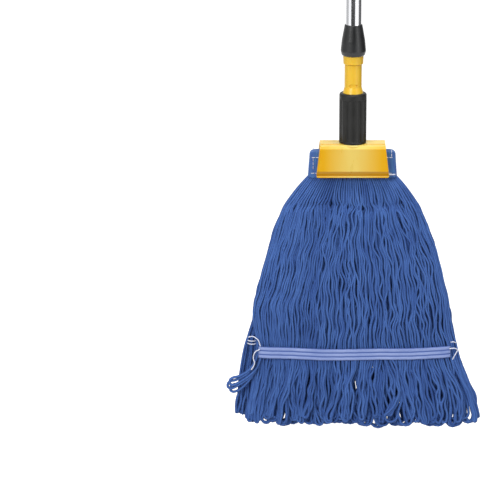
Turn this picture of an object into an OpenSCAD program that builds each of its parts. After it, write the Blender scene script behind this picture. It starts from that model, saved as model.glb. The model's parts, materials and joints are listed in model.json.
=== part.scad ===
// String mop: three-piece steel pole, screw clamp with two jaws, looped yarn head with tail bands.
// Millimetres. +Z runs up the pole and -Y is the front.
// The origin is the inner top of the hanging loop, where a hook carries the mop.

/* [Pole] */
// Outer diameter of the three tubes
tube_od = 24; // [21:0.5:25]
// Wall thickness of the tubes
tube_wall = 1; // [0.8:0.1:1.5]
// Bare length of the upper tube, between the grip and the upper joint sleeve
upper_tube_len = 280; // [150:5:400]
// Bare length of the middle tube, between the two joint sleeves
middle_tube_len = 300; // [150:5:400]
// Bare length of the lower tube, between the lower joint sleeve and the lock nut
lower_tube_len = 307; // [150:1:400]
// Length of each black sleeve over a tube joint
joint_sleeve_len = 104; // [70:2:140]
// Wall of each joint sleeve
joint_sleeve_wall = 0.9; // [0.7:0.1:2]
// How far the joint plugs reach into the tubes
joint_plug_depth = 36; // [24:1:60]
// Diameter of the screw that joins two tubes
joint_stud_d = 13; // [8:0.5:15]
// Thickness of the flange on each joint plug
joint_flange_h = 1.5; // [1:0.5:3]

/* [Grip and hanging loop] */
// Length of the grip barrel
grip_len = 121.5; // [90:0.5:200]
// Wall of the grip barrel
grip_wall = 1.2; // [1:0.1:3]
// Height of the hanging loop above the barrel
loop_h = 36; // [32:1:60]
// Width of the opening in the hanging loop
loop_opening_w = 16; // [12:0.5:18]
// Thickness of the plastic over the top of the opening
loop_crown = 3.5; // [3:0.5:6]
// Thickness of the hanging loop from front to back
loop_depth = 12; // [8:0.5:16]
// How far the cap's plug reaches into the tube
cap_plug_depth = 24; // [12:1:50]

/* [Lock nut and stem] */
// Height of the tapered lock nut
nut_h = 48; // [44:1:70]
// Wall of the lock nut where it is widest
nut_wall = 4.45; // [3:0.05:8]
// Wall of the lock nut where it meets the tube
nut_lip = 1.1; // [0.9:0.1:2]
// Rise of the lock nut in one turn
nut_lead = 3; // [1:0.5:4]
// Height of the stem that shows between the lock nut and the clamp sleeve
stem_bare_h = 57; // [40:1:90]
// Diameter of the stem's waist
stem_waist_d = 26.2; // [24:0.2:29]
// How far the ring at the top of the bare stem stands out past the collet
stem_ring_step = 0.8; // [0.3:0.1:2]
// Height of that ring
stem_ring_h = 12; // [8:0.5:18]
// Diameter of the hollow core of the stem
stem_core_d = 16; // [8:0.5:20]
// Depth of the pole's socket in the stem
pole_seat_depth = 31; // [28:1:36]
// Wall of the gripping fingers at the top of the stem
finger_wall = 1.6; // [1.2:0.1:2]

/* [Clamp sleeve] */
// Length of the ribbed clamp sleeve
sleeve_h = 78; // [70:1:110]
// Wall of the clamp sleeve
sleeve_wall = 5.25; // [4.5:0.05:9]
// Number of flutes round the clamp sleeve
flute_count = 18; // [12:1:30]
// Depth of the flutes
flute_depth = 0.9; // [0.4:0.1:1.4]
// Diameter of the threaded drum inside the clamp sleeve
drum_d = 31; // [28:0.5:34]
// Rise of the clamp sleeve in one turn
sleeve_lead = 4; // [4:0.5:8]

/* [Jaws] */
// Width of the jaws at the top
jaw_top_w = 99; // [80:1:130]
// Width of the jaws at the bottom
jaw_bottom_w = 111; // [90:1:150]
// Height of the jaws
jaw_h = 50; // [45:1:70]
// Distance from the middle to the outer face of a jaw
jaw_out = 24; // [23:0.5:32]
// Half the thickness of the bridge between the jaws
bridge_half = 10; // [8:0.5:11]
// Thickness of the bridge from top to bottom
bridge_h = 6.5; // [5:0.5:9]
// Radius of the rounded hinge edge of a jaw
knuckle_r = 3.4; // [3:0.1:3.8]
// Diameter of the hinge pins
pin_d = 3; // [2:0.5:4]
// Height and width of the raised rim round the face of a jaw
rim = 1.6; // [1:0.1:2.5]
// Wall of a jaw outside its inner pockets
jaw_wall = 2.6; // [2:0.1:4]

/* [Mop head] */
// Width of the headband at its lower edge
headband_w = 136; // [116:1:180]
// Height of the headband
headband_h = 43.5; // [30:0.5:60]
// Thickness of the folded headband fabric
headband_fabric = 2.2; // [1:0.1:4]
// Length of the yarn below the jaws
yarn_len = 388; // [300:2:500]
// Width of the yarn at its lower end
yarn_bottom_w = 384; // [300:2:460]
// Thickness of one layer of yarn
yarn_layer = 21; // [17:0.5:30]
// Length of the yarn below the middle of the tail bands
fringe_len = 108; // [60:2:160]
// Length of the tail bands
tail_band_w = 298; // [240:2:320]
// Width of the tape of the tail bands
tail_band_h = 17.5; // [10:0.5:30]
// Thickness of the tape of the tail bands
tail_band_t = 1.6; // [1:0.1:3]

/* [Hidden] */
$fn = 72;
// Clearances: between fixed pieces, round turning pieces, and beside loose or swinging pieces
fit_gap = 0.05;
turn_gap = 0.07;
free_gap = 0.3;
// Small overshoot for cuts that run past a face
past = 1;

tube_id = tube_od - 2 * tube_wall;
grip_d = tube_od + 2 * (fit_gap + grip_wall);
// The hanging cap is a little slimmer than the grip
cap_d = grip_d - 0.6;
joint_sleeve_d = tube_od + 2 * (fit_gap + joint_sleeve_wall);

// Heights down the pole, measured from the hook
grip_top = loop_crown - loop_h;
grip_bottom = grip_top - grip_len;
upper_joint_top = grip_bottom - upper_tube_len;
lower_joint_top = upper_joint_top - joint_sleeve_len - middle_tube_len;
nut_top = lower_joint_top - joint_sleeve_len - lower_tube_len;
nut_bottom = nut_top - nut_h;
sleeve_top = nut_bottom - stem_bare_h;
jaw_top = sleeve_top - sleeve_h;

// The cap's loop
loop_straight = loop_h - cap_d / 2;
loop_floor = 3.5;
cap_collar_h = 3;

// The stem's upper end, inside the lock nut
finger_d = tube_od + 2 * (fit_gap + finger_wall);
collet_ring_wall = 1.08;
collet_d = finger_d + 2 * (turn_gap + collet_ring_wall);
nut_d = collet_d + 2 * nut_wall;
stem_ring_d = collet_d + 2 * stem_ring_step;
collet_h = 14 + nut_lead;
finger_h = 16;
finger_slot = 2;
finger_slot_extra = 4;
collet_top = nut_bottom + collet_h + finger_h;
pole_bottom = collet_top - pole_seat_depth;
collet_ring_h = 8;
collet_ring_z = nut_bottom + collet_h + finger_slot_extra;

// The hinge of each jaw lies just outside the bridge, at the height where the knuckle is flush on top
hinge_y = bridge_half + 0.2 + knuckle_r;
hinge_z = -knuckle_r;
jaw_in = bridge_half + 0.2;
// The bridge's lugs carry the pins; lug_root is how far a lug reaches back into the bridge
lug_in = 9;
lug_out = 14;
lug_root = 0.5;
slot_half = lug_out + free_gap;
slot_r = knuckle_r + free_gap;
sleeve_d = drum_d + 2 * sleeve_wall;
boss_r = sleeve_d / 2 + 1.2;
boss_h = 9;

// A jaw's outer face from the top: a slight fall, a bevel, a shoulder, the face, a turned-in foot, a rim
top_fall = 1;
top_run = 6;
bevel_in = 1.4;
bevel_z = -5.4;
shoulder_in = 0.6;
shoulder_z = -12;
foot_z = -jaw_h + 10;
foot_in = 4;
rim_z = -jaw_h + 2.6;
rim_in = 1.2;
panel_depth = 0.8;

// The pockets in a jaw's inner side
pin_len = jaw_top_w - 6;
pocket_top = 10;
pocket_floor = 9;
pocket_rib = 4;
pocket_count = 4;

// The thrust ring in the foot of the clamp sleeve
ring_in = drum_d / 2 + 0.15;
ring_foot_out = ring_in + 1.4;
ring_out = ring_foot_out + 1.2;
ring_foot_h = 2;
ring_h = 5;
sleeve_foot = 2 * free_gap;
stem_base_h = sleeve_lead;

// The jaw springs: a closed coil round each hinge pin, with one leg to the bridge and one to the jaw
spring_wire = 0.8;
spring_r = pin_d / 2 + 0.1 + spring_wire / 2;
spring_turns = 8;
spring_from = 4;
spring_to = -7;
spring_leg = 13;

// The head: the band hangs under the bridge, the yarn layers swing from a line just below the jaws
headband_top = -bridge_h - free_gap;
headband_half = jaw_in - free_gap;
headband_lean = 3;
core_half = headband_half - headband_fabric;
core_side = headband_w / 2 - headband_fabric - headband_lean - 1;
core_top = headband_top - 6;
head_exit = min(-jaw_h, headband_top - headband_h + free_gap);
swing_r = 7.8;
swing_y = swing_r + 0.25;
swing_z = head_exit - swing_r - 4.2;
neck_bottom = swing_z + swing_r + free_gap;
tail_band_z = -jaw_h - yarn_len + fringe_len;
tail_band_y = swing_y - swing_r + yarn_layer - 4;

// ---- Helpers ----

function unit(v) = v / norm(v);

// Points of an arc of radius r that rounds the corner b between the sides towards a and c
function corner_arc(a, b, c, r, steps = 5) =
    let (to_a = unit(a - b),
         to_c = unit(c - b),
         half = acos(to_a * to_c) / 2,
         centre = b + unit(to_a + to_c) * r / sin(half),
         from = b + to_a * r / tan(half) - centre,
         to = b + to_c * r / tan(half) - centre,
         start = atan2(from.y, from.x),
         turn = (atan2(to.y, to.x) - start + 540) % 360 - 180)
    [for (i = [0:steps]) centre + r * [cos(start + turn * i / steps), sin(start + turn * i / steps)]];

// A closed outline with each corner rounded by its own radius, where 0 leaves it sharp
function rounded(points, radii) =
    let (n = len(points))
    [for (i = [0:n - 1])
        each radii[i] > 0
            ? corner_arc(points[(i + n - 1) % n], points[i], points[(i + 1) % n], radii[i])
            : [points[i]]];

// An outline drawn as [y, z] and carried along X
module along_x(length) {
    rotate([90, 0, 90]) linear_extrude(length, center = true) children();
}

// An outline drawn as [x, z] and carried along Y
module along_y(length) {
    rotate([90, 0, 0]) linear_extrude(length, center = true) children();
}

module pipe(outer_d, inner_d, bottom, top) {
    translate([0, 0, bottom])
        difference() {
            cylinder(d = outer_d, h = top - bottom);
            translate([0, 0, -past]) cylinder(d = inner_d, h = top - bottom + 2 * past);
        }
}

// A rod along X through the point [y, z]
module cross_rod(d, length, y, z) {
    translate([-length / 2, y, z]) rotate([0, 90, 0]) cylinder(d = d, h = length);
}

// ---- Pole ----

module tube(bottom, top) {
    color("#c9ccd0") pipe(tube_od, tube_id, bottom, top);
}

function joint_z(joint_top) = joint_top - joint_sleeve_len / 2;

module upper_tube() {
    tube(joint_z(upper_joint_top) + joint_flange_h, grip_top);
}

module middle_tube() {
    tube(joint_z(lower_joint_top) + joint_flange_h, joint_z(upper_joint_top) - joint_flange_h);
}

module lower_tube() {
    tube(pole_bottom, joint_z(lower_joint_top) - joint_flange_h);
}

module joint_sleeve(joint_top) {
    color("#2b2c2f") pipe(joint_sleeve_d, tube_od + 2 * fit_gap, joint_top - joint_sleeve_len, joint_top);
}

// The threaded plug that is pressed into the tube above a joint
module joint_socket(joint_top) {
    color("#3a3a3c")
        translate([0, 0, joint_z(joint_top)])
            difference() {
                union() {
                    cylinder(d = tube_od, h = joint_flange_h);
                    cylinder(d = tube_id - 2 * fit_gap, h = joint_plug_depth);
                }
                translate([0, 0, -past])
                    cylinder(d = joint_stud_d, h = joint_plug_depth - 6 + past);
            }
}

// The plug in the tube below a joint, with the screw that goes up into the socket
module joint_plug(joint_top) {
    color("#3a3a3c")
        translate([0, 0, joint_z(joint_top)]) {
            translate([0, 0, -joint_flange_h]) cylinder(d = tube_od, h = joint_flange_h);
            translate([0, 0, -joint_plug_depth]) cylinder(d = tube_id - 2 * fit_gap, h = joint_plug_depth);
            cylinder(d = joint_stud_d - 2 * fit_gap, h = joint_plug_depth - 8);
        }
}

module grip_sleeve() {
    color("#4a4b4f") pipe(grip_d, tube_od + 2 * fit_gap, grip_bottom, grip_top);
}

// The outline of the hanging loop from the front
module loop_outline() {
    translate([-cap_d / 2, grip_top]) square([cap_d, loop_straight]);
    translate([0, grip_top + loop_straight]) circle(d = cap_d);
}

module loop_opening() {
    opening_r = loop_opening_w / 2;
    translate([-opening_r, grip_top + loop_floor])
        square([loop_opening_w, -opening_r - grip_top - loop_floor]);
    translate([0, -opening_r]) circle(r = opening_r);
}

module hanging_cap() {
    edge = 3;
    color("#1d1e20") {
        difference() {
            union() {
                intersection() {
                    along_y(loop_depth) loop_outline();
                    translate([0, 0, grip_top]) cylinder(d = cap_d, h = loop_h);
                    along_x(cap_d)
                        polygon(rounded([[-loop_depth / 2, grip_top], [loop_depth / 2, grip_top],
                                         [loop_depth / 2, loop_crown], [-loop_depth / 2, loop_crown]],
                                        [0, 0, edge, edge]));
                }
                translate([0, 0, grip_top]) cylinder(d = cap_d, h = cap_collar_h);
            }
            along_y(loop_depth + 2 * past) loop_opening();
        }
        translate([0, 0, grip_top - cap_plug_depth]) cylinder(d = tube_id - 2 * fit_gap, h = cap_plug_depth);
    }
}

// ---- Lock nut and its ring ----

module pole_lock_nut() {
    nut_r = nut_d / 2;
    bore_r = collet_d / 2 + turn_gap;
    ring_top = collet_ring_z + collet_ring_h - nut_bottom + fit_gap;
    ceiling = collet_top - nut_bottom + 0.8;
    seat = 0.4;
    lip_r = tube_od / 2 + 0.2;
    // Outside: a rounded foot, a swelling side, and a lip round the tube
    outside = [[bore_r, seat], [nut_r - 2, seat], [nut_r, 8], [nut_r - 1.6, 0.5 * nut_h],
               [lip_r + nut_lip, nut_h], [lip_r, nut_h]];
    inside = [[lip_r, ceiling + 2], [finger_d / 2 + 0.5, ceiling], [finger_d / 2 + 0.5, ring_top],
              [bore_r, ring_top]];
    color("#26272a")
        translate([0, 0, nut_bottom])
            rotate_extrude()
                polygon(rounded(concat(outside, inside), [0, 3, 9, 0, 0.5, 0, 0, 0, 0, 0]));
}

module collet_ring() {
    color("#e8e6df")
        pipe(collet_d, finger_d + 2 * turn_gap, collet_ring_z, collet_ring_z + collet_ring_h);
}

// ---- Stem, with the bridge that carries the jaws ----

// Everything below this line is drawn with the jaws' top plane at z = 0 and moved down at the end
module at_clamp() {
    translate([0, 0, jaw_top]) children();
}

module stem_turned() {
    drum_r = drum_d / 2;
    waist_r = stem_waist_d / 2;
    stem_ring_r = stem_ring_d / 2;
    collet_r = collet_d / 2;
    finger_r = finger_d / 2;
    ring_top = nut_bottom - jaw_top;
    thread_top = ring_top + collet_h;
    top = collet_top - jaw_top;
    flare_top = sleeve_h + 9;
    rotate_extrude()
        polygon([[0, stem_base_h], [drum_r, stem_base_h], [drum_r, sleeve_h], [waist_r, flare_top],
                 [waist_r, ring_top - stem_ring_h - 1.5], [stem_ring_r - 0.6, ring_top - stem_ring_h],
                 [stem_ring_r, ring_top - 1], [stem_ring_r - 1, ring_top], [collet_r, ring_top],
                 [collet_r, thread_top], [finger_r, thread_top], [finger_r, top], [0, top]]);
}

module hinge_lugs() {
    for (end = [-1, 1], side = [-1, 1])
        translate([end * (lug_in + lug_out) / 2, 0, 0])
            along_x(lug_out - lug_in) {
                translate([side * hinge_y, hinge_z]) circle(r = knuckle_r);
                translate([side * (hinge_y + bridge_half - lug_root) / 2, hinge_z])
                    square([hinge_y - bridge_half + lug_root, 2 * knuckle_r], center = true);
            }
}

module stem_detail() {
    // A small recessed pad with a dimple at each end, low on the front of the waist
    pad_z = sleeve_h + 13;
    pad_h = 4.4;
    waist_r = stem_waist_d / 2;
    pad_half = 3.2;
    dimple_x = 5;
    translate([-pad_half, -waist_r - past, pad_z - pad_h / 2]) cube([2 * pad_half, past + 0.9, pad_h]);
    for (side = [-1, 1])
        translate([side * dimple_x, -waist_r + 2.4, pad_z])
            rotate([90, 0, 0]) cylinder(d = 3, h = waist_r);
}

module clamp_stem() {
    core_top = nut_bottom - jaw_top - 14;
    slot_floor = collet_top - finger_h - finger_slot_extra;
    color("#f2c21c") {
        difference() {
            at_clamp() {
                stem_turned();
                hinge_lugs();
                translate([-jaw_top_w / 2, -bridge_half, -bridge_h])
                    cube([jaw_top_w, 2 * bridge_half, bridge_h]);
                // The square foot between the bridge and the drum lets the jaws' bosses rise beside it
                intersection() {
                    translate([-drum_d / 2, -bridge_half, 0]) cube([drum_d, 2 * bridge_half, stem_base_h]);
                    cylinder(d = drum_d, h = stem_base_h);
                }
            }
            translate([0, 0, pole_bottom]) cylinder(d = tube_od + 2 * fit_gap, h = pole_seat_depth + past);
            translate([0, 0, jaw_top - bridge_h - past]) cylinder(d = stem_core_d, h = core_top + bridge_h + past);
            for (turn = [45, 135])
                translate([0, 0, slot_floor])
                    rotate([0, 0, turn])
                        translate([-collet_d, -finger_slot / 2, 0])
                            cube([2 * collet_d, finger_slot, finger_h + finger_slot_extra + past]);
            at_clamp() {
                for (side = [-1, 1])
                    cross_rod(pin_d, 2 * lug_out + 2 * past, side * hinge_y, hinge_z);
                stem_detail();
            }
        }
    }
}

// ---- Clamp sleeve and thrust ring ----

// A circle with shallow round flutes cut into it
module fluted_outline() {
    steps = 8;
    points = flute_count * steps;
    polygon([for (i = [0:points - 1])
        let (a = 360 * i / points, r = sleeve_d / 2 - flute_depth * abs(sin(180 * i / steps)))
        r * [cos(a), sin(a)]]);
}

module clamp_sleeve() {
    r = sleeve_d / 2;
    rim_h = 9;
    bore = drum_d + 2 * turn_gap;
    color("#242528")
        at_clamp()
            difference() {
                union() {
                    translate([0, 0, sleeve_foot + 3])
                        linear_extrude(sleeve_h - sleeve_foot - 3 - rim_h) fluted_outline();
                    rotate_extrude()
                        polygon(rounded([[0, sleeve_foot], [r, sleeve_foot], [r, sleeve_foot + 3],
                                         [r - flute_depth, sleeve_foot + 4],
                                         [r - flute_depth, sleeve_h - rim_h - 1], [r, sleeve_h - rim_h],
                                         [r, sleeve_h], [0, sleeve_h]],
                                        [0, 1.2, 0, 0, 0, 0, 3.5, 0]));
                }
                translate([0, 0, -past]) cylinder(d = bore, h = sleeve_h + 2 * past);
                translate([0, 0, -past]) cylinder(r = ring_foot_out + turn_gap, h = ring_h + past);
                translate([0, 0, ring_foot_h])
                    cylinder(r = ring_out + turn_gap, h = ring_h + free_gap - ring_foot_h + fit_gap);
            }
}

module thrust_ring() {
    color("#dcdad2")
        at_clamp()
            translate([0, 0, free_gap])
                difference() {
                    union() {
                        cylinder(r = ring_foot_out, h = ring_h);
                        translate([0, 0, ring_foot_h]) cylinder(r = ring_out, h = ring_h - ring_foot_h);
                    }
                    translate([0, 0, -past]) cylinder(r = ring_in, h = ring_h + 2 * past);
                }
}

// ---- Jaws: the rear one is drawn, and the front one is its mirror image ----

module jaw_side_profile() {
    polygon(rounded([[hinge_y, 0], [hinge_y + top_run, -top_fall], [jaw_out - bevel_in, bevel_z],
                     [jaw_out - shoulder_in, shoulder_z], [jaw_out, foot_z],
                     [jaw_out - foot_in, rim_z], [jaw_out - rim_in, rim_z - 0.6],
                     [jaw_out - rim_in, -jaw_h], [jaw_in, -jaw_h], [jaw_in, hinge_z], [hinge_y, hinge_z]],
                    [0, 1.5, 3, 6, 4, 0, 0, 0.6, 1.5, 0, 0]));
    translate([hinge_y, hinge_z]) circle(r = knuckle_r);
}

function jaw_half_w(z) = jaw_top_w / 2 + (jaw_bottom_w - jaw_top_w) / 2 * -z / jaw_h;

module jaw_front_outline() {
    polygon(rounded([[-jaw_half_w(0), 0], [jaw_half_w(0), 0], [jaw_half_w(-jaw_h), -jaw_h],
                     [-jaw_half_w(-jaw_h), -jaw_h]],
                    [1.5, 1.5, 3, 3]));
}

// The shallow recess that leaves a raised rim along the sides and the foot of the face
module jaw_panel_cut() {
    intersection() {
        along_x(2 * jaw_bottom_w)
            polygon([[jaw_out - bevel_in, bevel_z], [jaw_out - shoulder_in - panel_depth, shoulder_z],
                     [jaw_out - panel_depth, foot_z], [jaw_out - foot_in - panel_depth, rim_z],
                     [2 * jaw_out, rim_z], [2 * jaw_out, bevel_z]]);
        along_y(4 * jaw_out)
            polygon([[-jaw_half_w(0) + rim, 0], [jaw_half_w(0) - rim, 0],
                     [jaw_half_w(-jaw_h) - rim, -jaw_h], [-jaw_half_w(-jaw_h) + rim, -jaw_h]]);
    }
}

module jaw_pockets() {
    width = 2 * (min(jaw_half_w(-pocket_top), jaw_half_w(-jaw_h + pocket_floor)) - jaw_wall);
    cell = (width - (pocket_count - 1) * pocket_rib) / pocket_count;
    for (i = [0:pocket_count - 1])
        translate([-width / 2 + i * (cell + pocket_rib), jaw_in - past, -jaw_h + pocket_floor])
            cube([cell, jaw_out - jaw_wall - 2 - jaw_in + past, jaw_h - pocket_floor - pocket_top]);
}

// Room in the jaw for the bridge's lugs, the spring and the spring's leg
module hinge_slot() {
    cross_rod(2 * slot_r, 2 * slot_half, hinge_y, hinge_z);
    translate([-slot_half, 0, hinge_z - slot_r]) cube([2 * slot_half, hinge_y, 2 * slot_r]);
    translate([spring_to - spring_wire, jaw_in - past, -pocket_top - past])
        cube([2 * spring_wire, hinge_y + spring_r + spring_wire - jaw_in + past, pocket_top + past + hinge_z]);
}

module jaw() {
    difference() {
        union() {
            intersection() {
                along_x(2 * jaw_bottom_w) jaw_side_profile();
                along_y(4 * jaw_out) jaw_front_outline();
            }
            // Half-round boss that the clamp sleeve presses on
            intersection() {
                rotate_extrude()
                    polygon([[0, 0], [boss_r - 1, 0], [boss_r, -1], [boss_r, -boss_h], [0, -boss_h]]);
                translate([-boss_r, hinge_y, -boss_h]) cube([2 * boss_r, boss_r, boss_h]);
            }
        }
        jaw_panel_cut();
        jaw_pockets();
        hinge_slot();
        cross_rod(pin_d + 2 * turn_gap, 2 * jaw_bottom_w, hinge_y, hinge_z);
    }
}

module rear_jaw() {
    color("#f2c21c") at_clamp() jaw();
}

module front_jaw() {
    color("#f2c21c") at_clamp() mirror([0, 1, 0]) jaw();
}

module jaw_pin(side) {
    color("#b9bcc0") at_clamp() cross_rod(pin_d - 2 * fit_gap, pin_len, side * hinge_y, hinge_z);
}

// ---- Jaw springs ----

// Centre line of the rear spring: in from the bridge, round the pin, and down inside the jaw
function spring_coil_point(i, per_turn) =
    let (a = 90 - 360 * i / per_turn, t = i / (per_turn * (spring_turns + 0.25)))
    [spring_from + (spring_to - spring_from) * t, hinge_y + spring_r * cos(a), hinge_z + spring_r * sin(a)];

function spring_path(per_turn) =
    let (last = per_turn * (spring_turns + 0.25))
    concat([[spring_from, bridge_half + fit_gap, hinge_z + spring_r]],
           [for (i = [0:last]) spring_coil_point(i, per_turn)],
           [[spring_to, hinge_y + spring_r, hinge_z - spring_leg]]);

// A wire of the given diameter swept along a path whose turns all lie across X
module swept_wire(path, d, sides = 6) {
    last = len(path) - 1;
    rings = [for (i = [0:last])
        let (along = unit(path[min(i + 1, last)] - path[max(i - 1, 0)]),
             out = unit(cross(along, [1, 0, 0])),
             over = cross(along, out))
        for (s = [0:sides - 1]) path[i] + d / 2 * (cos(360 * s / sides) * out + sin(360 * s / sides) * over)];
    walls = [for (i = [0:last - 1], s = [0:sides - 1])
        let (a = i * sides + s, b = i * sides + (s + 1) % sides)
        each [[a, a + sides, b + sides], [a, b + sides, b]]];
    caps = [[for (s = [0:sides - 1]) s], [for (s = [0:sides - 1]) last * sides + sides - 1 - s]];
    polyhedron(rings, concat(walls, caps), convexity = 10);
}

module jaw_spring() {
    swept_wire(spring_path(8), spring_wire);
}

module rear_jaw_spring() {
    color("#9a9da1") at_clamp() jaw_spring();
}

module front_jaw_spring() {
    color("#9a9da1") at_clamp() mirror([0, 1, 0]) jaw_spring();
}

// ---- Mop head ----

module headband() {
    half_top = headband_w / 2 - headband_lean;
    half_bottom = headband_w / 2;
    bottom = headband_top - headband_h;
    color("#2f55a4")
        at_clamp()
            difference() {
                intersection() {
                    along_y(4 * headband_half)
                        polygon(rounded([[-half_top, headband_top], [half_top, headband_top],
                                         [half_bottom, bottom], [-half_bottom, bottom]], [5, 5, 0, 0]));
                    along_x(2 * headband_w)
                        polygon(rounded([[-headband_half, bottom], [headband_half, bottom],
                                         [headband_half, headband_top], [-headband_half, headband_top]],
                                        [0, 0, 3, 3]));
                }
                translate([-core_side, -core_half, bottom - past])
                    cube([2 * core_side, 2 * core_half, core_top - bottom + past]);
            }
}

// The bundle of yarn that is sewn inside the headband and shows just below it
module yarn_root() {
    side = core_side - fit_gap;
    color("#3a63b4")
        at_clamp()
            along_x(2 * side)
                polygon([[-core_half + fit_gap, core_top - fit_gap], [core_half - fit_gap, core_top - fit_gap],
                         [core_half - fit_gap, neck_bottom], [-core_half + fit_gap, neck_bottom]]);
}

// Half the width of the yarn at a depth below the jaws: quick at first, then steadily wider
function yarn_half_w(drop) =
    let (t = drop / yarn_len, start = headband_w / 2)
    start + (yarn_bottom_w / 2 - start) * (0.38 * (1 - exp(-t * 7)) + 0.62 * t);

module yarn_front_outline() {
    drops = [for (i = [0:8]) yarn_len * pow(i / 8, 1.5)];
    right = [for (d = drops) [yarn_half_w(d), -jaw_h - d]];
    left = [for (i = [8:-1:0]) [-yarn_half_w(drops[i]), -jaw_h - drops[i]]];
    polygon(rounded(concat(right, left), [for (i = [0:17]) i == 8 || i == 9 ? 8 : 0]));
}

// A layer of yarn from the side: a round top at its swing line, fuller below, drawn in at the tail band
module yarn_side_profile() {
    inner = swing_y - swing_r;
    full = inner + yarn_layer;
    band = tail_band_h / 2 + 2;
    bottom = -jaw_h - yarn_len;
    polygon(rounded([[inner, swing_z], [inner, bottom], [full - 2, bottom],
                     [full, tail_band_z - band - 26], [tail_band_y, tail_band_z - band],
                     [tail_band_y, tail_band_z + band], [full, tail_band_z + band + 40],
                     [full, swing_z - 46], [swing_y + swing_r, swing_z]],
                    [0, 4, 4, 0, 0, 0, 0, 0, 0]));
    translate([swing_y, swing_z]) circle(r = swing_r);
}

module yarn_layer_solid() {
    intersection() {
        along_x(2 * yarn_bottom_w) yarn_side_profile();
        along_y(8 * yarn_layer) yarn_front_outline();
    }
}

module rear_yarn() {
    color("#3a63b4") at_clamp() yarn_layer_solid();
}

module front_yarn() {
    color("#3a63b4") at_clamp() mirror([0, 1, 0]) yarn_layer_solid();
}

module tail_band(side) {
    color("#8f9ed6")
        at_clamp()
            translate([-tail_band_w / 2, side > 0 ? tail_band_y : -tail_band_y - tail_band_t,
                       tail_band_z - tail_band_h / 2])
                cube([tail_band_w, tail_band_t, tail_band_h]);
}

hanging_cap();
grip_sleeve();
upper_tube();
joint_sleeve(upper_joint_top);  // upper_joint_sleeve
joint_socket(upper_joint_top);  // upper_joint_socket
joint_plug(upper_joint_top);  // upper_joint_plug
middle_tube();
joint_sleeve(lower_joint_top);  // lower_joint_sleeve
joint_socket(lower_joint_top);  // lower_joint_socket
joint_plug(lower_joint_top);  // lower_joint_plug
lower_tube();
pole_lock_nut();
collet_ring();
clamp_stem();
clamp_sleeve();
thrust_ring();
front_jaw();
rear_jaw();
jaw_pin(-1);  // front_jaw_pin
jaw_pin(1);  // rear_jaw_pin
front_jaw_spring();
rear_jaw_spring();
headband();
yarn_root();
front_yarn();
rear_yarn();
tail_band(-1);  // front_tail_band
tail_band(1);  // rear_tail_band
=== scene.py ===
"""Looks of the string mop: the finishes of its pole and clamp, and its sewn head of looped yarn.

Everything hangs as the frame has it: +Z up the pole, -Y the front. Sizes below are millimetres.
"""
import json
import math

import bpy
import numpy as np
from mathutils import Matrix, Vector


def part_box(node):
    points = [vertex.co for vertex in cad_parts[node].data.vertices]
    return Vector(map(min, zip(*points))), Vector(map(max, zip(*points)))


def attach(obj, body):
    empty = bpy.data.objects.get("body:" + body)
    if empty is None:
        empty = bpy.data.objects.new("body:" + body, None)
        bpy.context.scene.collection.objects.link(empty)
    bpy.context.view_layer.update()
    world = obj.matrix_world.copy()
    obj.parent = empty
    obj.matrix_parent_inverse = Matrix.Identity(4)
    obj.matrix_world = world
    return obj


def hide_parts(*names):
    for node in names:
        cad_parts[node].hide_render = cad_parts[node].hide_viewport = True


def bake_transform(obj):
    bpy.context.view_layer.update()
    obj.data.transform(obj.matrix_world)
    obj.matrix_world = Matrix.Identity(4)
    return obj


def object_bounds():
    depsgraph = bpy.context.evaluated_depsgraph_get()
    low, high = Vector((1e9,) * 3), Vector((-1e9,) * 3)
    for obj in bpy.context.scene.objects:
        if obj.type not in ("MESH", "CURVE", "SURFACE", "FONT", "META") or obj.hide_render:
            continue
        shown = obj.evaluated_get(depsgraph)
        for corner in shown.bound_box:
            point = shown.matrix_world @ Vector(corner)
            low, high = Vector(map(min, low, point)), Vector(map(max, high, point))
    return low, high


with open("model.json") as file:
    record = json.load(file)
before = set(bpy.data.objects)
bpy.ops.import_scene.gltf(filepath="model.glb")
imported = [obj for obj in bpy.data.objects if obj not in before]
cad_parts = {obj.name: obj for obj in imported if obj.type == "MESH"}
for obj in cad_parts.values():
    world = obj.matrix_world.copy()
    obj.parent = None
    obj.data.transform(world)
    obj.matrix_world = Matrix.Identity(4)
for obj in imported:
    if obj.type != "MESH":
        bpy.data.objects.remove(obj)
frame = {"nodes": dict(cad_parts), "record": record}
cad_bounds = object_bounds()

MM = 0.001
rng = np.random.default_rng(7)


def low(node):
    """Lowest corner of a CAD node, in millimetres."""
    return np.array(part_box(node)[0]) / MM


def high(node):
    """Highest corner of a CAD node, in millimetres."""
    return np.array(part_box(node)[1]) / MM


# ---- Heights and widths that the head is built from ----

JAW_FOOT = low("front_jaw")[2]
BAND_LOW, BAND_HIGH = low("headband"), high("headband")
YARN_LENGTH = JAW_FOOT - low("front_yarn")[2]
YARN_NECK_HALF = BAND_HIGH[0]
YARN_FOOT_HALF = high("front_yarn")[0]
YARN_FACE = high("rear_yarn")[1]
TAIL_LOW, TAIL_HIGH = low("rear_tail_band"), high("rear_tail_band")
TAIL_Z = (TAIL_LOW[2] + TAIL_HIGH[2]) / 2
TAIL_DROP = JAW_FOOT - TAIL_Z

STRAND_R = 1.8
STRAND_SIDES = 7
RING_STEP = 4.2
# How far below the jaws the yarn is creased
CREASE_DROP = 47
# The least that a strand keeps from the middle plane, where the other side's strands lie
MIDDLE_GAP = STRAND_R * 0.6 + 0.3

# Sewing: how far the upper row is from the band's top and the lower from its foot, and thread radii
UPPER_ROW, LOWER_ROW = 14.5, 4.5
STITCH_R = 0.55
TAIL_THREAD_R, TIE_THREAD_R = 0.85, 0.9
TAPE_THICKNESS = 1.1


def smooth(value, start, end):
    """0 before start, 1 after end, and an even S between them."""
    t = np.clip((value - start) / (end - start), 0, 1)
    return t * t * (3 - 2 * t)


# ---- Nodes and colours ----

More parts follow.
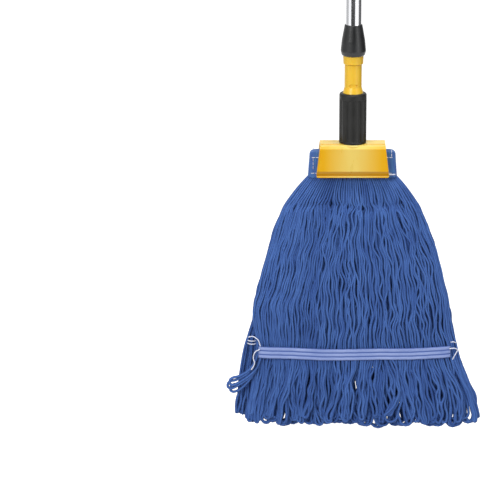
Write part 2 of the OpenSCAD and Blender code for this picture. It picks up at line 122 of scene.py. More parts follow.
def linear(hex_colour):
    """An sRGB hex colour as linear RGBA."""
    channels = [int(hex_colour[i:i + 2], 16) / 255 for i in (1, 3, 5)]
    return [c / 12.92 if c <= 0.04045 else ((c + 0.055) / 1.055) ** 2.4 for c in channels] + [1]


def add(tree, kind, inputs=None, **settings):
    """Add a shader node, set its properties, and fill its inputs with values or other nodes' outputs."""
    node = tree.nodes.new("ShaderNode" + kind)
    for name, value in settings.items():
        setattr(node, name, value)
    for name, value in (inputs or {}).items():
        if isinstance(value, bpy.types.NodeSocket):
            tree.links.new(value, node.inputs[name])
        else:
            node.inputs[name].default_value = value
    return node


def new_material(name, **inputs):
    """A material with one Principled shader whose fixed values are given by socket name."""
    made = bpy.data.materials.new(name)
    made.use_nodes = True
    shader = made.node_tree.nodes["Principled BSDF"]
    for socket, value in inputs.items():
        shader.inputs[socket.replace("_", " ")].default_value = value
    return made, made.node_tree, shader


def blend_colours(tree, factor, first, second):
    """The output of a mix between two sRGB hex colours."""
    mix = add(tree, "Mix", {"Factor": factor}, data_type="RGBA")
    mix.inputs["A"].default_value = linear(first)
    mix.inputs["B"].default_value = linear(second)
    return mix.outputs["Result"]


def ranged(tree, value, from_low, from_high, to_low, to_high):
    """The output of a Map Range node."""
    node = add(tree, "MapRange", {"Value": value, "From Min": from_low, "From Max": from_high,
                                  "To Min": to_low, "To Max": to_high})
    return node.outputs["Result"]


def noise(tree, where, size_mm, detail=2.0, stretch=(1, 1, 1)):
    """Noise whose blobs are size_mm across, stretched along an axis where stretch is over 1."""
    mapping = add(tree, "Mapping", {"Vector": where, "Scale": [1 / s for s in stretch]})
    node = add(tree, "TexNoise", {"Vector": mapping.outputs["Vector"], "Scale": 1 / (size_mm * MM),
                                  "Detail": detail})
    return node.outputs["Fac"]


def object_place(tree):
    return add(tree, "TexCoord").outputs["Object"]


def bump(tree, shader, height, depth_mm, strength=1.0):
    node = add(tree, "Bump", {"Height": height, "Distance": depth_mm * MM, "Strength": strength})
    tree.links.new(node.outputs["Normal"], shader.inputs["Normal"])


# ---- Finishes of the hard pieces ----

def polished_steel():
    """Thin-walled welded steel tube, polished lengthwise: a mirror with faint draw lines along it."""
    made, tree, shader = new_material("polished steel tube", Base_Color=linear("#E6E7EA"), Metallic=1.0)
    where = object_place(tree)
    lines = noise(tree, where, 0.7, 3.0, stretch=(1, 1, 90))
    smears = noise(tree, where, 34, 3.0)
    both = add(tree, "Math", {0: lines, 1: smears}, operation="MULTIPLY").outputs[0]
    tree.links.new(ranged(tree, both, 0.1, 0.45, 0.07, 0.2), shader.inputs["Roughness"])
    bump(tree, shader, lines, 0.01, 0.35)
    return made


def pin_steel():
    """Drawn steel wire, plain and a little dull."""
    made, tree, shader = new_material("drawn steel wire", Base_Color=linear("#A9ACB0"), Metallic=1.0)
    grain = noise(tree, object_place(tree), 0.6, 2.0, stretch=(20, 1, 1))
    tree.links.new(ranged(tree, grain, 0.3, 0.7, 0.28, 0.45), shader.inputs["Roughness"])
    return made


def moulded(name, colour, worn, gloss, grain_mm, grain_depth, coat=0.0, shine=0.5):
    """Injection-moulded plastic: an even tint, cloudier where it is handled, over a fine mould grain."""
    made, tree, shader = new_material(name, IOR=1.49, Coat_Weight=coat, Coat_Roughness=0.22,
                                      Specular_IOR_Level=shine)
    where = object_place(tree)
    clouds = noise(tree, where, 26, 4.0)
    grain = noise(tree, where, grain_mm, 2.0)
    tint = blend_colours(tree, ranged(tree, clouds, 0.35, 0.75, 0.0, 1.0), colour, worn)
    tree.links.new(tint, shader.inputs["Base Color"])
    tree.links.new(ranged(tree, clouds, 0.3, 0.7, gloss, gloss + 0.12), shader.inputs["Roughness"])
    bump(tree, shader, grain, grain_depth, 0.6)
    return made


def yellow(name, rim, middle):
    """Coloured polypropylene: satin, slightly clear, paler in the middle of a wide face as a painted
    highlight, and tinted by
    the way a face points: a painted highlight on upward slopes and painted shade on undersides."""
    made, tree, shader = new_material(name, IOR=1.49, Specular_IOR_Level=0.38, Subsurface_Weight=0.1,
                                      Subsurface_Scale=0.003)
    where = object_place(tree)
    place = add(tree, "SeparateXYZ", {"Vector": where})
    # Painted highlight: pale makes a face paler towards its middle across X, for a soft reflection, and the
    # noise varies it
    across = add(tree, "Math", {0: place.outputs["X"]}, operation="ABSOLUTE").outputs[0]
    centre = ranged(tree, across, 0.004, 0.044, 1.0, 0.0)
    highlight_and_gloss_noise = noise(tree, where, 18, 3.0, stretch=(1, 1, 2.5))
    pale = add(tree, "Math", {0: centre, 1: ranged(tree, highlight_and_gloss_noise, 0.2, 0.8, 0.8, 1.1)}, operation="MULTIPLY",
               use_clamp=True).outputs[0]
    tint = blend_colours(tree, pale, rim, middle)
    # Painted light by the way a face points: a paler tint on upward faces is a painted highlight, a deeper
    # tint on undersides is painted shade
    facing = add(tree, "SeparateXYZ", {"Vector": add(tree, "NewGeometry").outputs["Normal"]}).outputs["Z"]
    for start, end, share, colour in ((0.35, 0.8, 0.55, "#F8DC78"), (-0.08, -0.3, 0.85, "#BA8500")):
        mix = add(tree, "Mix", {"Factor": ranged(tree, facing, start, end, 0.0, share)}, data_type="RGBA")
        tree.links.new(tint, mix.inputs["A"])
        mix.inputs["B"].default_value = linear(colour)
        tint = mix.outputs["Result"]
    tree.links.new(tint, shader.inputs["Base Color"])
    tree.links.new(ranged(tree, highlight_and_gloss_noise, 0.3, 0.7, 0.26, 0.36), shader.inputs["Roughness"])
    bump(tree, shader, noise(tree, where, 0.8, 2.0), 0.015, 0.4)
    return made


HARD_FINISHES = {
    # Welded tube, polished: strong clean reflections along its length
    "tube": polished_steel(),
    # Injection-moulded polypropylene with a bright surface
    "cap": moulded("black polypropylene, glossy", "#141518", "#1D1E22", 0.16, 1.2, 0.01, coat=0.3),
    # The same plastic from a plainer mould, rubbed by hands
    "joint": moulded("black polypropylene, plain", "#1B1C1F", "#26272B", 0.3, 0.9, 0.02, coat=0.1),
    # Soft-looking rubbed grey, the mould's texture still on it
    "grip": moulded("dark grey polypropylene grip", "#3B3D42", "#484A50", 0.42, 0.7, 0.05),
    # Glass-filled nylon: satin, with small speckles
    "nut": moulded("black nylon, satin", "#18191A", "#222325", 0.3, 0.6, 0.004, shine=0.45),
    "sleeve": moulded("black nylon, ribbed", "#171716", "#20201F", 0.36, 0.7, 0.03, shine=0.3),
    "inner": moulded("recycled dark polypropylene", "#2D2D2F", "#3A3A3C", 0.5, 0.8, 0.04),
    "ring": moulded("natural nylon", "#E6E2D6", "#D8D3C4", 0.38, 0.8, 0.02),
    # Yellow mouldings of the clamp, slightly clear; the second colour is a painted highlight for the middle
    # of a face, and upward faces get painted highlight, undersides painted shade
    "jaw": yellow("yellow polypropylene, jaws", "#E0A800", "#E5CA6A"),
    "stem": yellow("yellow polypropylene, stem", "#E8B82C", "#EABC34"),
    "pin": pin_steel(),
}
FINISH_OF_SLOT = {
    "tube_steel": "tube", "black_plastic": "joint", "cap_plastic": "cap", "grip_plastic": "grip",
    "nut_plastic": "nut", "sleeve_plastic": "sleeve", "inner_plastic": "inner", "ring_plastic": "ring",
    "stem_plastic": "stem", "jaw_plastic": "jaw", "pin_steel": "pin",
}


def finish_hard_nodes():
    """Give each hard CAD node the finish of its slot in the record."""
    for entry in frame["record"]["subparts"]:
        finish = FINISH_OF_SLOT.get(entry["material_slot"])
        if finish:
            mesh = frame["nodes"][entry["node"]].data
            mesh.materials.clear()
            mesh.materials.append(HARD_FINISHES[finish])


# ---- Finishes of the soft pieces ----

def yarn_finish():
    """Four-ply cotton and rayon yarn: each ply comes round every 9 mm, fuzzy, with uneven dyeing from strand
    to strand,
    and painted shade: darker on the deeper rows, on each strand's sides for the shade of its neighbours, and
    in the grooves between the plies."""
    made, tree, shader = new_material("dyed four-ply yarn", Roughness=0.85, Sheen_Weight=0.25,
                                      Sheen_Roughness=0.45, Sheen_Tint=linear("#9DB4EA"))
    shader.inputs["Specular IOR Level"].default_value = 0.25
    around_along = add(tree, "SeparateXYZ", {"Vector": add(tree, "TexCoord").outputs["UV"]})
    plies = add(tree, "Math", {0: around_along.outputs["X"], 1: 4.0}, operation="MULTIPLY").outputs[0]
    turns = add(tree, "Math", {0: around_along.outputs["Y"], 1: 4.0 / 9.0}, operation="MULTIPLY").outputs[0]
    phase = add(tree, "Math", {0: plies, 1: turns}, operation="ADD").outputs[0]
    angle = add(tree, "Math", {0: phase, 1: math.tau}, operation="MULTIPLY").outputs[0]
    ply = ranged(tree, add(tree, "Math", {0: angle}, operation="SINE").outputs[0], -1.0, 1.0, 0.0, 1.0)
    fuzz = noise(tree, object_place(tree), 0.9, 3.0)
    shade = add(tree, "Attribute", attribute_name="dye_and_depth_shade").outputs["Fac"]
    patch = noise(tree, object_place(tree), 22, 3.0)
    lightness = add(tree, "Math", {0: ranged(tree, shade, 0, 1, -0.15, 0.55), 1: patch}, operation="ADD",
                    use_clamp=True).outputs[0]
    # Painted shade: the sides of each strand are coloured darker, for the shade of its neighbours
    round_angle = add(tree, "Math", {0: around_along.outputs["X"], 1: math.tau},
                      operation="MULTIPLY").outputs[0]
    flank = add(tree, "Math", {0: add(tree, "Math", {0: round_angle}, operation="COSINE").outputs[0]},
                operation="ABSOLUTE").outputs[0]
    crown = blend_colours(tree, lightness, "#305196", "#5279C1")
    painted_side_shade = add(tree, "Mix", {"Factor": ranged(tree, flank, 0.3, 0.95, 0.0, 0.6)}, data_type="RGBA")
    tree.links.new(crown, painted_side_shade.inputs["A"])
    painted_side_shade.inputs["B"].default_value = linear("#1C3873")
    dyed_with_painted_shade = painted_side_shade.outputs["Result"]
    # Painted shade: the grooves between the plies are coloured darker
    groove = add(tree, "Mix", {"Factor": ranged(tree, ply, 0.0, 0.45, 0.35, 0.0)}, data_type="RGBA")
    tree.links.new(dyed_with_painted_shade, groove.inputs["A"])
    groove.inputs["B"].default_value = linear("#1D3267")
    tree.links.new(groove.outputs["Result"], shader.inputs["Base Color"])
    height = add(tree, "Math", {0: ply, 1: ranged(tree, fuzz, 0, 1, 0, 0.5)}, operation="ADD").outputs[0]
    bump(tree, shader, height, 0.45, 0.8)
    return made


def band_finish():
    """Woven polyester band: warp and weft 1.6 mm apart so that they show, streaked by uneven dyeing."""
    made, tree, shader = new_material("woven blue band", Roughness=0.75, Sheen_Weight=0.2,
                                      Sheen_Tint=linear("#AFC4F0"))
    where = object_place(tree)
    place = add(tree, "SeparateXYZ", {"Vector": where})
    threads = []
    for axis in ("X", "Z"):
        angle = add(tree, "Math", {0: place.outputs[axis], 1: math.tau / (1.6 * MM)},
                    operation="MULTIPLY").outputs[0]
        threads.append(add(tree, "Math", {0: angle}, operation="SINE").outputs[0])
    weave = add(tree, "Math", {0: threads[0], 1: threads[1]}, operation="MULTIPLY").outputs[0]
    streaks = noise(tree, where, 4.5, 2.0, stretch=(1, 1, 5))
    tint = blend_colours(tree, ranged(tree, streaks, 0.35, 0.65, 0, 1), "#3659A4", "#467BB6")
    shaded = add(tree, "Mix", {"Factor": ranged(tree, weave, -1, 1, 0.35, 0.0)}, data_type="RGBA")
    tree.links.new(tint, shaded.inputs["A"])
    shaded.inputs["B"].default_value = linear("#28407F")
    tree.links.new(shaded.outputs["Result"], shader.inputs["Base Color"])
    bump(tree, shader, weave, 0.25, 0.7)
    return made


def tape_finish():
    """Striped tape: three pale ribs with blue between them, cross-ribbed every 2.2 mm so that it shows."""
    made, tree, shader = new_material("striped tail tape", Roughness=0.7, Sheen_Weight=0.2,
                                      Sheen_Tint=linear("#D5DCF5"))
    along_across = add(tree, "SeparateXYZ", {"Vector": add(tree, "TexCoord").outputs["UV"]})
    third = add(tree, "Math", {0: along_across.outputs["Y"], 1: 3.0}, operation="MULTIPLY").outputs[0]
    within = add(tree, "Math", {0: third, 1: 1.0}, operation="MODULO").outputs[0]
    centred = add(tree, "Math", {0: within, 1: 0.5}, operation="SUBTRACT").outputs[0]
    off = add(tree, "Math", {0: centred}, operation="ABSOLUTE").outputs[0]
    blue = ranged(tree, off, 0.27, 0.38, 0.0, 1.0)
    rib_angle = add(tree, "Math", {0: along_across.outputs["X"], 1: math.tau / 2.2},
                    operation="MULTIPLY").outputs[0]
    rib = add(tree, "Math", {0: rib_angle}, operation="SINE").outputs[0]
    faded = noise(tree, object_place(tree), 16, 3.0, stretch=(2, 1, 1))
    pale = blend_colours(tree, ranged(tree, faded, 0.3, 0.7, 0, 1), "#96A7D8", "#7F92CA")
    mix = add(tree, "Mix", {"Factor": blue}, data_type="RGBA")
    tree.links.new(pale, mix.inputs["A"])
    mix.inputs["B"].default_value = linear("#475FA3")
    tree.links.new(mix.outputs["Result"], shader.inputs["Base Color"])
    bump(tree, shader, rib, 0.12, 0.6)
    return made


def thread_finish():
    """White polyester sewing thread, thick and slightly shiny."""
    made, tree, shader = new_material("white sewing thread", Roughness=0.55, Sheen_Weight=0.2)
    around_along = add(tree, "SeparateXYZ", {"Vector": add(tree, "TexCoord").outputs["UV"]})
    twist = add(tree, "Math", {0: around_along.outputs["X"], 1: around_along.outputs["Y"]},
                operation="ADD").outputs[0]
    angle = add(tree, "Math", {0: twist, 1: 2 * math.tau}, operation="MULTIPLY").outputs[0]
    ply = ranged(tree, add(tree, "Math", {0: angle}, operation="SINE").outputs[0], -1, 1, 0, 1)
    # Painted shade: the thread is coloured darker in the grooves of its twist
    tree.links.new(blend_colours(tree, ply, "#CDD3EA", "#F2F4FC"), shader.inputs["Base Color"])
    bump(tree, shader, ply, 0.15, 0.5)
    return made


YARN = yarn_finish()
BAND = band_finish()
TAPE = tape_finish()
THREAD = thread_finish()


# ---- Mesh helpers: everything soft is swept or gridded in millimetres ----

class Soup:
    """Vertices, faces, corner UVs and a value per vertex, gathered before one mesh is made of them."""

    def __init__(self):
        self.points = []
        self.values = []
        self.faces = []
        self.corners = []
        self.count = 0

    def put(self, points, faces, corners, value):
        self.points.append(points)
        self.values.append(np.full(len(points), value))
        self.faces.extend(tuple(int(i) + self.count for i in face) for face in faces)
        self.corners.extend(corners)
        self.count += len(points)

    def build(self, name, finish):
        mesh = bpy.data.meshes.new(name)
        mesh.from_pydata((np.concatenate(self.points) * MM).tolist(), [], self.faces)
        mesh.polygons.foreach_set("use_smooth", [True] * len(mesh.polygons))
        layer = mesh.uv_layers.new(name="UVMap")
        layer.data.foreach_set("uv", np.array(self.corners, float).reshape(-1))
        dye_and_depth_shade = mesh.attributes.new("dye_and_depth_shade", "FLOAT", "POINT")
        dye_and_depth_shade.data.foreach_set("value", np.concatenate(self.values).astype(np.float32))
        mesh.materials.append(finish)
        piece = bpy.data.objects.new(name, mesh)
        bpy.context.scene.collection.objects.link(piece)
        return piece


def sweep(soup, path, radius, sides, value=0.5, reference=(0, 1, 0)):
    """A closed round tube along a path, in millimetres, that nowhere runs along the reference direction."""
    path = np.asarray(path, float)
    along = np.gradient(path, axis=0)
    along /= np.linalg.norm(along, axis=1, keepdims=True)
    side = np.cross(along, np.array(reference, float))
    side /= np.linalg.norm(side, axis=1, keepdims=True)
    over = np.cross(side, along)
    steps = np.linalg.norm(np.diff(path, axis=0), axis=1)
    run = np.concatenate([[0], np.cumsum(steps)])
    angles = math.tau * np.arange(sides) / sides
    radii = np.broadcast_to(radius, len(path))[:, None, None]
    ring = np.cos(angles)[None, :, None] * side[:, None] + np.sin(angles)[None, :, None] * over[:, None]
    points = (path[:, None] + radii * ring).reshape(-1, 3)
    faces = []
    corners = []
    for i in range(len(path) - 1):
        for s in range(sides):
            t = (s + 1) % sides
            faces.append((i * sides + s, i * sides + t, (i + 1) * sides + t, (i + 1) * sides + s))
            u, w = s / sides, (s + 1) / sides
            corners += [(u, run[i]), (w, run[i]), (w, run[i + 1]), (u, run[i + 1])]
    last = (len(path) - 1) * sides
    faces.append(tuple(range(sides - 1, -1, -1)))
    faces.append(tuple(range(last, last + sides)))
    corners += [(s / sides, 0) for s in range(sides - 1, -1, -1)]
    corners += [(s / sides, run[-1]) for s in range(sides)]
    soup.put(points, faces, corners, value)


# ---- The looped yarn ----

# Clumps of the fringe, as shares of the half width: from where to where each hangs from the tail band,
# then from where to where it ends at its foot
CLUMPS = ((-1.0, -0.57, -0.99, -0.59), (-0.57, -0.37, -0.55, -0.385), (-0.37, 0.275, -0.36, 0.26),
          (0.275, 0.39, 0.305, 0.36), (0.39, 0.81, 0.43, 0.79), (0.81, 0.91, 0.825, 0.885),
          (0.91, 1.0, 0.935, 1.0))
# Sizes and lengths, in mm, of a strand's own sideways and inward waves
SIDEWAYS = ((1.0, 24), (0.6, 10.5), (0.4, 5.2))
INWARD = ((0.6, 19), (0.45, 8))


def half_width(drop, across):
    """Half the width of the yarn at a drop below the jaws: pulled in at the left, beside the loose tuft."""
    t = np.clip(drop / YARN_LENGTH, 0, 1)
    spread = 0.38 * (1 - np.exp(-7 * t)) + 0.62 * t
    even = YARN_NECK_HALF - 1.5 + (YARN_FOOT_HALF - YARN_NECK_HALF) * spread
    right = 0.07 * smooth(drop, 270, YARN_LENGTH - 20) * smooth(across, 0.3, 1.0)
    return even * (1 + right - 0.12 * smooth(drop, 200, 290) * smooth(-across, 0.2, 0.9))


def face_depth(drop, across):
    """How far the outermost yarn stands from the middle plane: full below the neck, held in by the tape."""
    neck = 9.0 + (YARN_FACE - 9.4) * (1 - np.exp(-np.maximum(drop, 0) / 17))
    held = (YARN_FACE - TAIL_LOW[1] + 0.3) * np.exp(-((drop - TAIL_DROP) / 26) ** 2)
    foot = 3.0 * smooth(drop, TAIL_DROP + 50, YARN_LENGTH)
    full = neck - held - foot
    rim = np.abs(across) ** 5
    return full * (1 - 0.62 * rim)


def drift(across, drop, seed):
    """Sideways waviness of the yarn that neighbouring strands share, so that they run side by side."""
    shared = seed * 1.7
    waves = 2.6 * np.sin(drop / 33 + 3.1 * across + shared + 0.9 * np.sin(3.3 * across + shared))
    waves += 1.3 * np.sin(drop / 12 + 9 * across + 1.6 * np.sin(7 * across + 2 * shared))
    return waves + 0.8 * np.sin(drop / 6.2 - 15 * across + 2.4 * np.sin(11 * across + shared))


def own_waves(kinds):
    """Random waves of the given sizes and lengths, for one strand."""
    return [(size * rng.uniform(0.5, 1.4), length * rng.uniform(0.75, 1.35), rng.uniform(0, math.tau))
            for size, length in kinds]


def waved(drop, waves):
    return sum(size * np.sin(drop / length + start) for size, length, start in waves)


def bundle_of_strands(places, members):
    """What the strands of one bundle share: its middle, and how it leans, bows and lifts in the fringe."""
    heart = float(places[members].mean())
    edge = 1 - abs(heart) ** 4
    half = float(np.ptp(places[members])) / 2
    return {"heart": heart, "half": half, "lean": rng.normal(3 * heart, 6.0) * edge,
            "bow": rng.normal(0, 5.0) * edge, "lift": rng.uniform(-3.6, 0.4),
            "short": 12 * rng.random() ** 1.5}


def strand_path(across, bundle, seed, foot, depth_in, fold, behind, stray):
    """Points down one strand, from inside the band to its foot.

    across is its place as a share of the half width, depth_in how far it lies under the surface, fold
    how far it kinks sideways in the creased row at the neck, behind how far it is tucked in above that
    row, and stray how much more than the others it wanders.
    """
    heart = bundle["heart"]
    drop = np.append(np.arange(-7.0, foot - 1, RING_STEP), foot)
    start, end, foot_start, foot_end = next(c for c in CLUMPS if across <= c[1] + 1e-6)
    at_foot = foot_start + (across - start) / (end - start) * (foot_end - foot_start)
    fringe = smooth(drop, TAIL_DROP + 8, TAIL_DROP + 60)
    gathered = 0.08 * smooth(drop, 60, 120) * (1 - smooth(drop, TAIL_DROP - 60, TAIL_DROP)) + 0.3 * fringe
    below = np.clip((drop - TAIL_DROP - 8) / (YARN_LENGTH - TAIL_DROP - 8), 0, 1)
    place = across + (at_foot - across) * smooth(drop, TAIL_DROP + 62, YARN_LENGTH + 2)
    # The deepest row keeps straighter, so that it backs the gaps between the bundles in front of it
    deepest = depth_in >= 4
    backing = 0.35 if deepest else 1
    place = place + (heart - across) * gathered * backing
    tied = 1 - 0.75 * np.exp(-((drop - TAIL_DROP) / 20) ** 2)
    free = smooth(drop, 6, 60) * tied * (1 - 0.6 * abs(across) ** 5)
    crease = CREASE_DROP + 4 * math.sin(5 * across + seed)
    creased = np.exp(-((drop - crease) / 5.5) ** 2) * (1 - abs(across) ** 4)
    x = place * (half_width(drop, across) - STRAND_R) + fold * creased
    x = x + free * (drift(across, drop, seed) + waved(drop, own_waves(SIDEWAYS)) * (stray + 0.6 * fringe))
    x = x + backing * (bundle["lean"] * below ** 1.5 + bundle["bow"] * np.sin(math.pi * below))
    off = (across - heart) * YARN_FOOT_HALF / 10
    rounded = off ** 2 * (0.5 + 4.0 * fringe) + behind * (1 - smooth(drop, 30, 62)) - bundle["lift"] * fringe
    tuck = depth_in * (smooth(drop, -8, 40) * 0.7 + 0.3 if deepest else 1)
    y = face_depth(drop, across) - STRAND_R - 0.8 - tuck - rounded - 2.0 * creased
    y = y + free * waved(drop, own_waves(INWARD))
    return np.stack([x, np.maximum(y, MIDDLE_GAP), JAW_FOOT - drop], axis=1)


def looped_pair(left, right, bulge):
    """One looped strand: down the left path, round its foot, and up the right one."""
    for path, way in ((left, -1), (right, 1)):
        up = path[:, 2] - path[-1, 2]
        path[:, 0] += way * bulge * np.sin(math.pi * np.clip(1 - up / 26, 0, 1) ** 0.8) * (up < 26)
    start, end = left[-1], right[-1]
    middle = (start + end) / 2
    reach = np.linalg.norm(end - start) / 2
    turn = np.linspace(0, math.pi, 7)[1:-1]
    ends = [middle + (start - middle) * math.cos(a) - np.array([0, 0, max(reach, 1.6) * math.sin(a)])
            for a in turn]
    return np.concatenate([left, ends, right[::-1]])


def put_strand(soup, path, side, dye_and_depth_shade):
    """Sweep one looped strand, squeezed thin where the band holds it."""
    path[:, 1] *= side
    drop = JAW_FOOT - path[:, 2]
    thick = STRAND_R * (0.76 + 0.24 * smooth(drop, 0, 50) + 0.2 * smooth(drop, TAIL_DROP, TAIL_DROP + 50))
    sweep(soup, path, thick, STRAND_SIDES, np.clip(dye_and_depth_shade, 0, 1))


def yarn_row(soup, side, count, depth_in, seed, dark):
    """A row of looped strands across one side of the head: side is -1 at the front and 1 at the rear."""
    places = (np.arange(count) + 0.5) / count * 2 - 1
    places = places + rng.uniform(-0.35, 0.35, count) / count
    k = 0
    while k < count - 1:
        size = 2 * int(rng.integers(2, 5))
        members = np.arange(k, min(k + size, count - count % 2))
        bundle = bundle_of_strands(places, members)
        apart = len(members) // 2
        for i, n in enumerate(members[:apart]):
            edge = (places[[n, n + apart]].mean() - bundle["heart"]) / bundle["half"]
            foot = YARN_LENGTH + 7 - bundle["short"] - 10 * edge ** 2 - 5 * rng.random() ** 2
            fold = (3.4 + rng.normal(0, 0.9)) * math.copysign(1, math.sin(23 * bundle["heart"] + 3 * seed))
            stray = rng.choice([1.0, 2.4], p=[0.88, 0.12])
            pair = []
            for m in (n, n + apart):
                under = depth_in + 0.5 * i + rng.uniform(0, 1.0) - 0.9 * (stray > 1)
                behind = 2.4 * (m % 2) + rng.uniform(0, 0.5)
                pair.append(strand_path(places[m], bundle, seed, foot, under, fold + rng.normal(0, 0.6),
                                        behind, stray))
            bulge = rng.choice([0.0, 0.8, 2.0], p=[0.6, 0.3, 0.1])
            # dark makes the strands of deeper rows darker: painted shade for their depth
            put_strand(soup, looped_pair(pair[0], pair[1], bulge), side, rng.normal(0.5 - dark, 0.2))
        k += size


def yarn_side(node, side, seed):
    """The yarn of one side in three depths."""
    made = []
    # The last column, dark, darkens the inner and deep rows: painted shade for their depth
    for name, count, depth_in, dark in (("outer", 96, 0.0, 0.0), ("inner", 88, 3.6, 0.12),
                                        ("deep", 74, 7.6, 0.25)):
        soup = Soup()
        yarn_row(soup, side, count, depth_in, seed + 0.2 * depth_in, dark)
        made.append(soup.build(f"{node}_{name}", YARN))
    for piece in made:
        bend_with_fringe(piece)
    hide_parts(node)
    return made


def bend_with_fringe(piece):
    """Bake a piece's placement into its mesh."""
    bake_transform(piece)


def curve_through(points, step=2.0):
    """A smooth path through a few points, in millimetres."""
    points = np.array(points, float)
    ends = np.concatenate([[2 * points[0] - points[1]], points, [2 * points[-1] - points[-2]]])
    path = []
    for a, b, c, d in zip(ends, ends[1:], ends[2:], ends[3:]):
        t = np.arange(0, 1, step / max(np.linalg.norm(c - b), step))[:, None]
        path.append(b + 0.5 * t * (c - a + t * (2 * a - 5 * b + 4 * c - d + t * (3 * (b - c) + d - a))))
    return np.concatenate(path + [points[-1:]])


def side_tuft():
    """Strands that slipped out of the tail bands at the left: tied with thread, some swept aside."""
    soup = Soup()
    count = 10
    for k in range(count):
        t = k / (count - 1)
        pair = []
        for n in (0, 1):
            u = t + n / (2 * count)
            y = 3.0 + 9.5 * abs(math.sin(2.3 * k + n))
            line = [(-138 + 8 * u, 185), (-148 + 8 * u, 226), (-160 + 13 * u, 262), (-165 + 20 * u, 284),
                    (-171 + 23 * u, 318), (-174 + 24 * u, 352), (-178 + 24 * u, 384 - 12 * abs(t - 0.4))]
            wiggle = rng.uniform(-1, 1, len(line))
            pair.append(curve_through([(x + w, y, JAW_FOOT - d) for (x, d), w in zip(line, wiggle)], 4.0))
        put_strand(soup, looped_pair(pair[0], pair[1], 1.6), 1, rng.normal(0.42, 0.2))
    # Loops swept aside: reach is how much further left each goes, rise how much lower it hangs
    for k, (reach, rise) in enumerate(((0, 3), (3, 9), (-1, 15))):
        y = -13.5 + 1.3 * k
        line = [(-140, 270), (-149, 296), (-160, 309 + 0.6 * rise), (-174 - reach, 316 + rise),
                (-182 - reach, 318 + rise), (-187 - reach, 322 + rise), (-187 - reach, 328 + rise),
                (-181 - reach, 330 + rise), (-170 - reach, 324 + rise), (-156, 315 + 0.6 * rise),
                (-144, 302), (-136, 272)]
        put_strand(soup, curve_through([(x, y + 0.05 * d - 14, JAW_FOOT - d) for x, d in line], 2.5), 1, 0.6)
    piece = soup.build("side_tuft", YARN)
    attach(piece, "rear_fringe")


def thread_tails():
    """White sewing thread left long at the ends of the front tail band, and round the tuft's waist."""
    face = TAIL_HIGH[1] + 1.2
    front, rear = Soup(), Soup()
    tails = [
        [(-141, -face, 273), (-148, -face, 277), (-151, -face, 286), (-149, -face - 1, 294),
         (-150, -face, 299), (-154, -face + 1, 306)],
        [(-140, -face, 268), (-143, -face, 259), (-147, -face + 1, 255), (-152, -face + 3, 253),
         (-159, -face + 6, 255)],
        [(153, -face + 2, 262), (157, -face + 1, 261), (161, -face + 3, 263)],
        [(151, -face, 272), (158, -face, 271), (163.5, -face + 1, 274), (160, -face, 281),
         (156, -face, 289)],
    ]
    for tail in tails:
        sweep(front, curve_through([(x, y, JAW_FOOT - d) for x, y, d in tail]), TAIL_THREAD_R, 6, 0.5)
    for turn in range(2):
        ring = [(-152.5 - 8.5 * math.cos(a), 7 - 8 * math.sin(a),
                 JAW_FOOT - 264 - 5 * turn - 1.5 * math.sin(a)) for a in np.linspace(0, math.tau, 13)]
        sweep(rear, curve_through(ring), TIE_THREAD_R, 6, 0.5, reference=(0, 0, 1))
    for soup, name, body in ((front, "front_thread_tails", "front_fringe"),
                             (rear, "tuft_thread", "rear_fringe")):
        piece = soup.build(name, THREAD)
        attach(piece, body)


# ---- The headband ----

def headband():
    """Woven band folded over the yarn: a rounded shell, drawn in a little along its stitch rows."""
    top, foot = BAND_HIGH[2], BAND_LOW[2] - 2.5
    half_y = BAND_HIGH[1]
    length = top - foot
    soup = Soup()
    columns, rows = 90, 40
    points = []
    for i in range(columns + 1):
        t = 2 * i / columns - 1
        for j in range(rows + 1):
            fold = 2 * j / rows - 1
            rise = 1 - abs(fold)
            x = t * (BAND_HIGH[0] - 3 * rise)
            thick = half_y * (1 - abs(t) ** 14) ** 0.5
            run = rise * (length + half_y)
            up = min(1.0, run / length)
            round_top = math.sqrt(max(0.0, 1 - max(0.0, (run - length) / half_y) ** 2))
            y = math.copysign(thick, fold) * (round_top if run > length else 1)
            end_drop = 5.5 * smooth(abs(x), 38, 47) + 4 * abs(t) ** 30
            z = foot + length * up - (end_drop if rise > 0.5 else end_drop * up)
            upper = math.exp(-((z - top + UPPER_ROW) / 2.2) ** 2)
            lower = math.exp(-((z - foot - LOWER_ROW) / 2) ** 2)
            quilt = 0.35 * (upper + lower)
            y -= math.copysign(quilt, y) if abs(y) > 1 else 0
            points.append((x, y, z))
    faces = []
    corners = []
    for i in range(columns):
        for j in range(rows):
            a = i * (rows + 1) + j
            faces.append((a, a + 1, a + rows + 2, a + rows + 1))
            corners += [(i, j), (i, j + 1), (i + 1, j + 1), (i + 1, j)]
    soup.put(np.array(points), faces, corners, 0.5)
    piece = soup.build("headband_cover", BAND)
    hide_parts("headband")
    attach(piece, "handle")


def stitch_row(soup, start, end, y, stitch, gap, radius):
    """Raised stitches along a line from start to end, both [x, z], on the face at y."""
    start, end = np.array(start, float), np.array(end, float)
    length = np.linalg.norm(end - start)
    heading = (end - start) / length
    for k in range(int(length / (stitch + gap))):
        begin = start + heading * k * (stitch + gap)
        lift = math.copysign(radius * 0.7, y)
        path = [[*(begin + heading * stitch * t), lift * math.sin(math.pi * t)]
                for t in (0, 0.12, 0.3, 0.5, 0.7, 0.88, 1)]
        sweep(soup, [[p[0], y + p[2], p[1]] for p in path], radius, 5, 0.9)


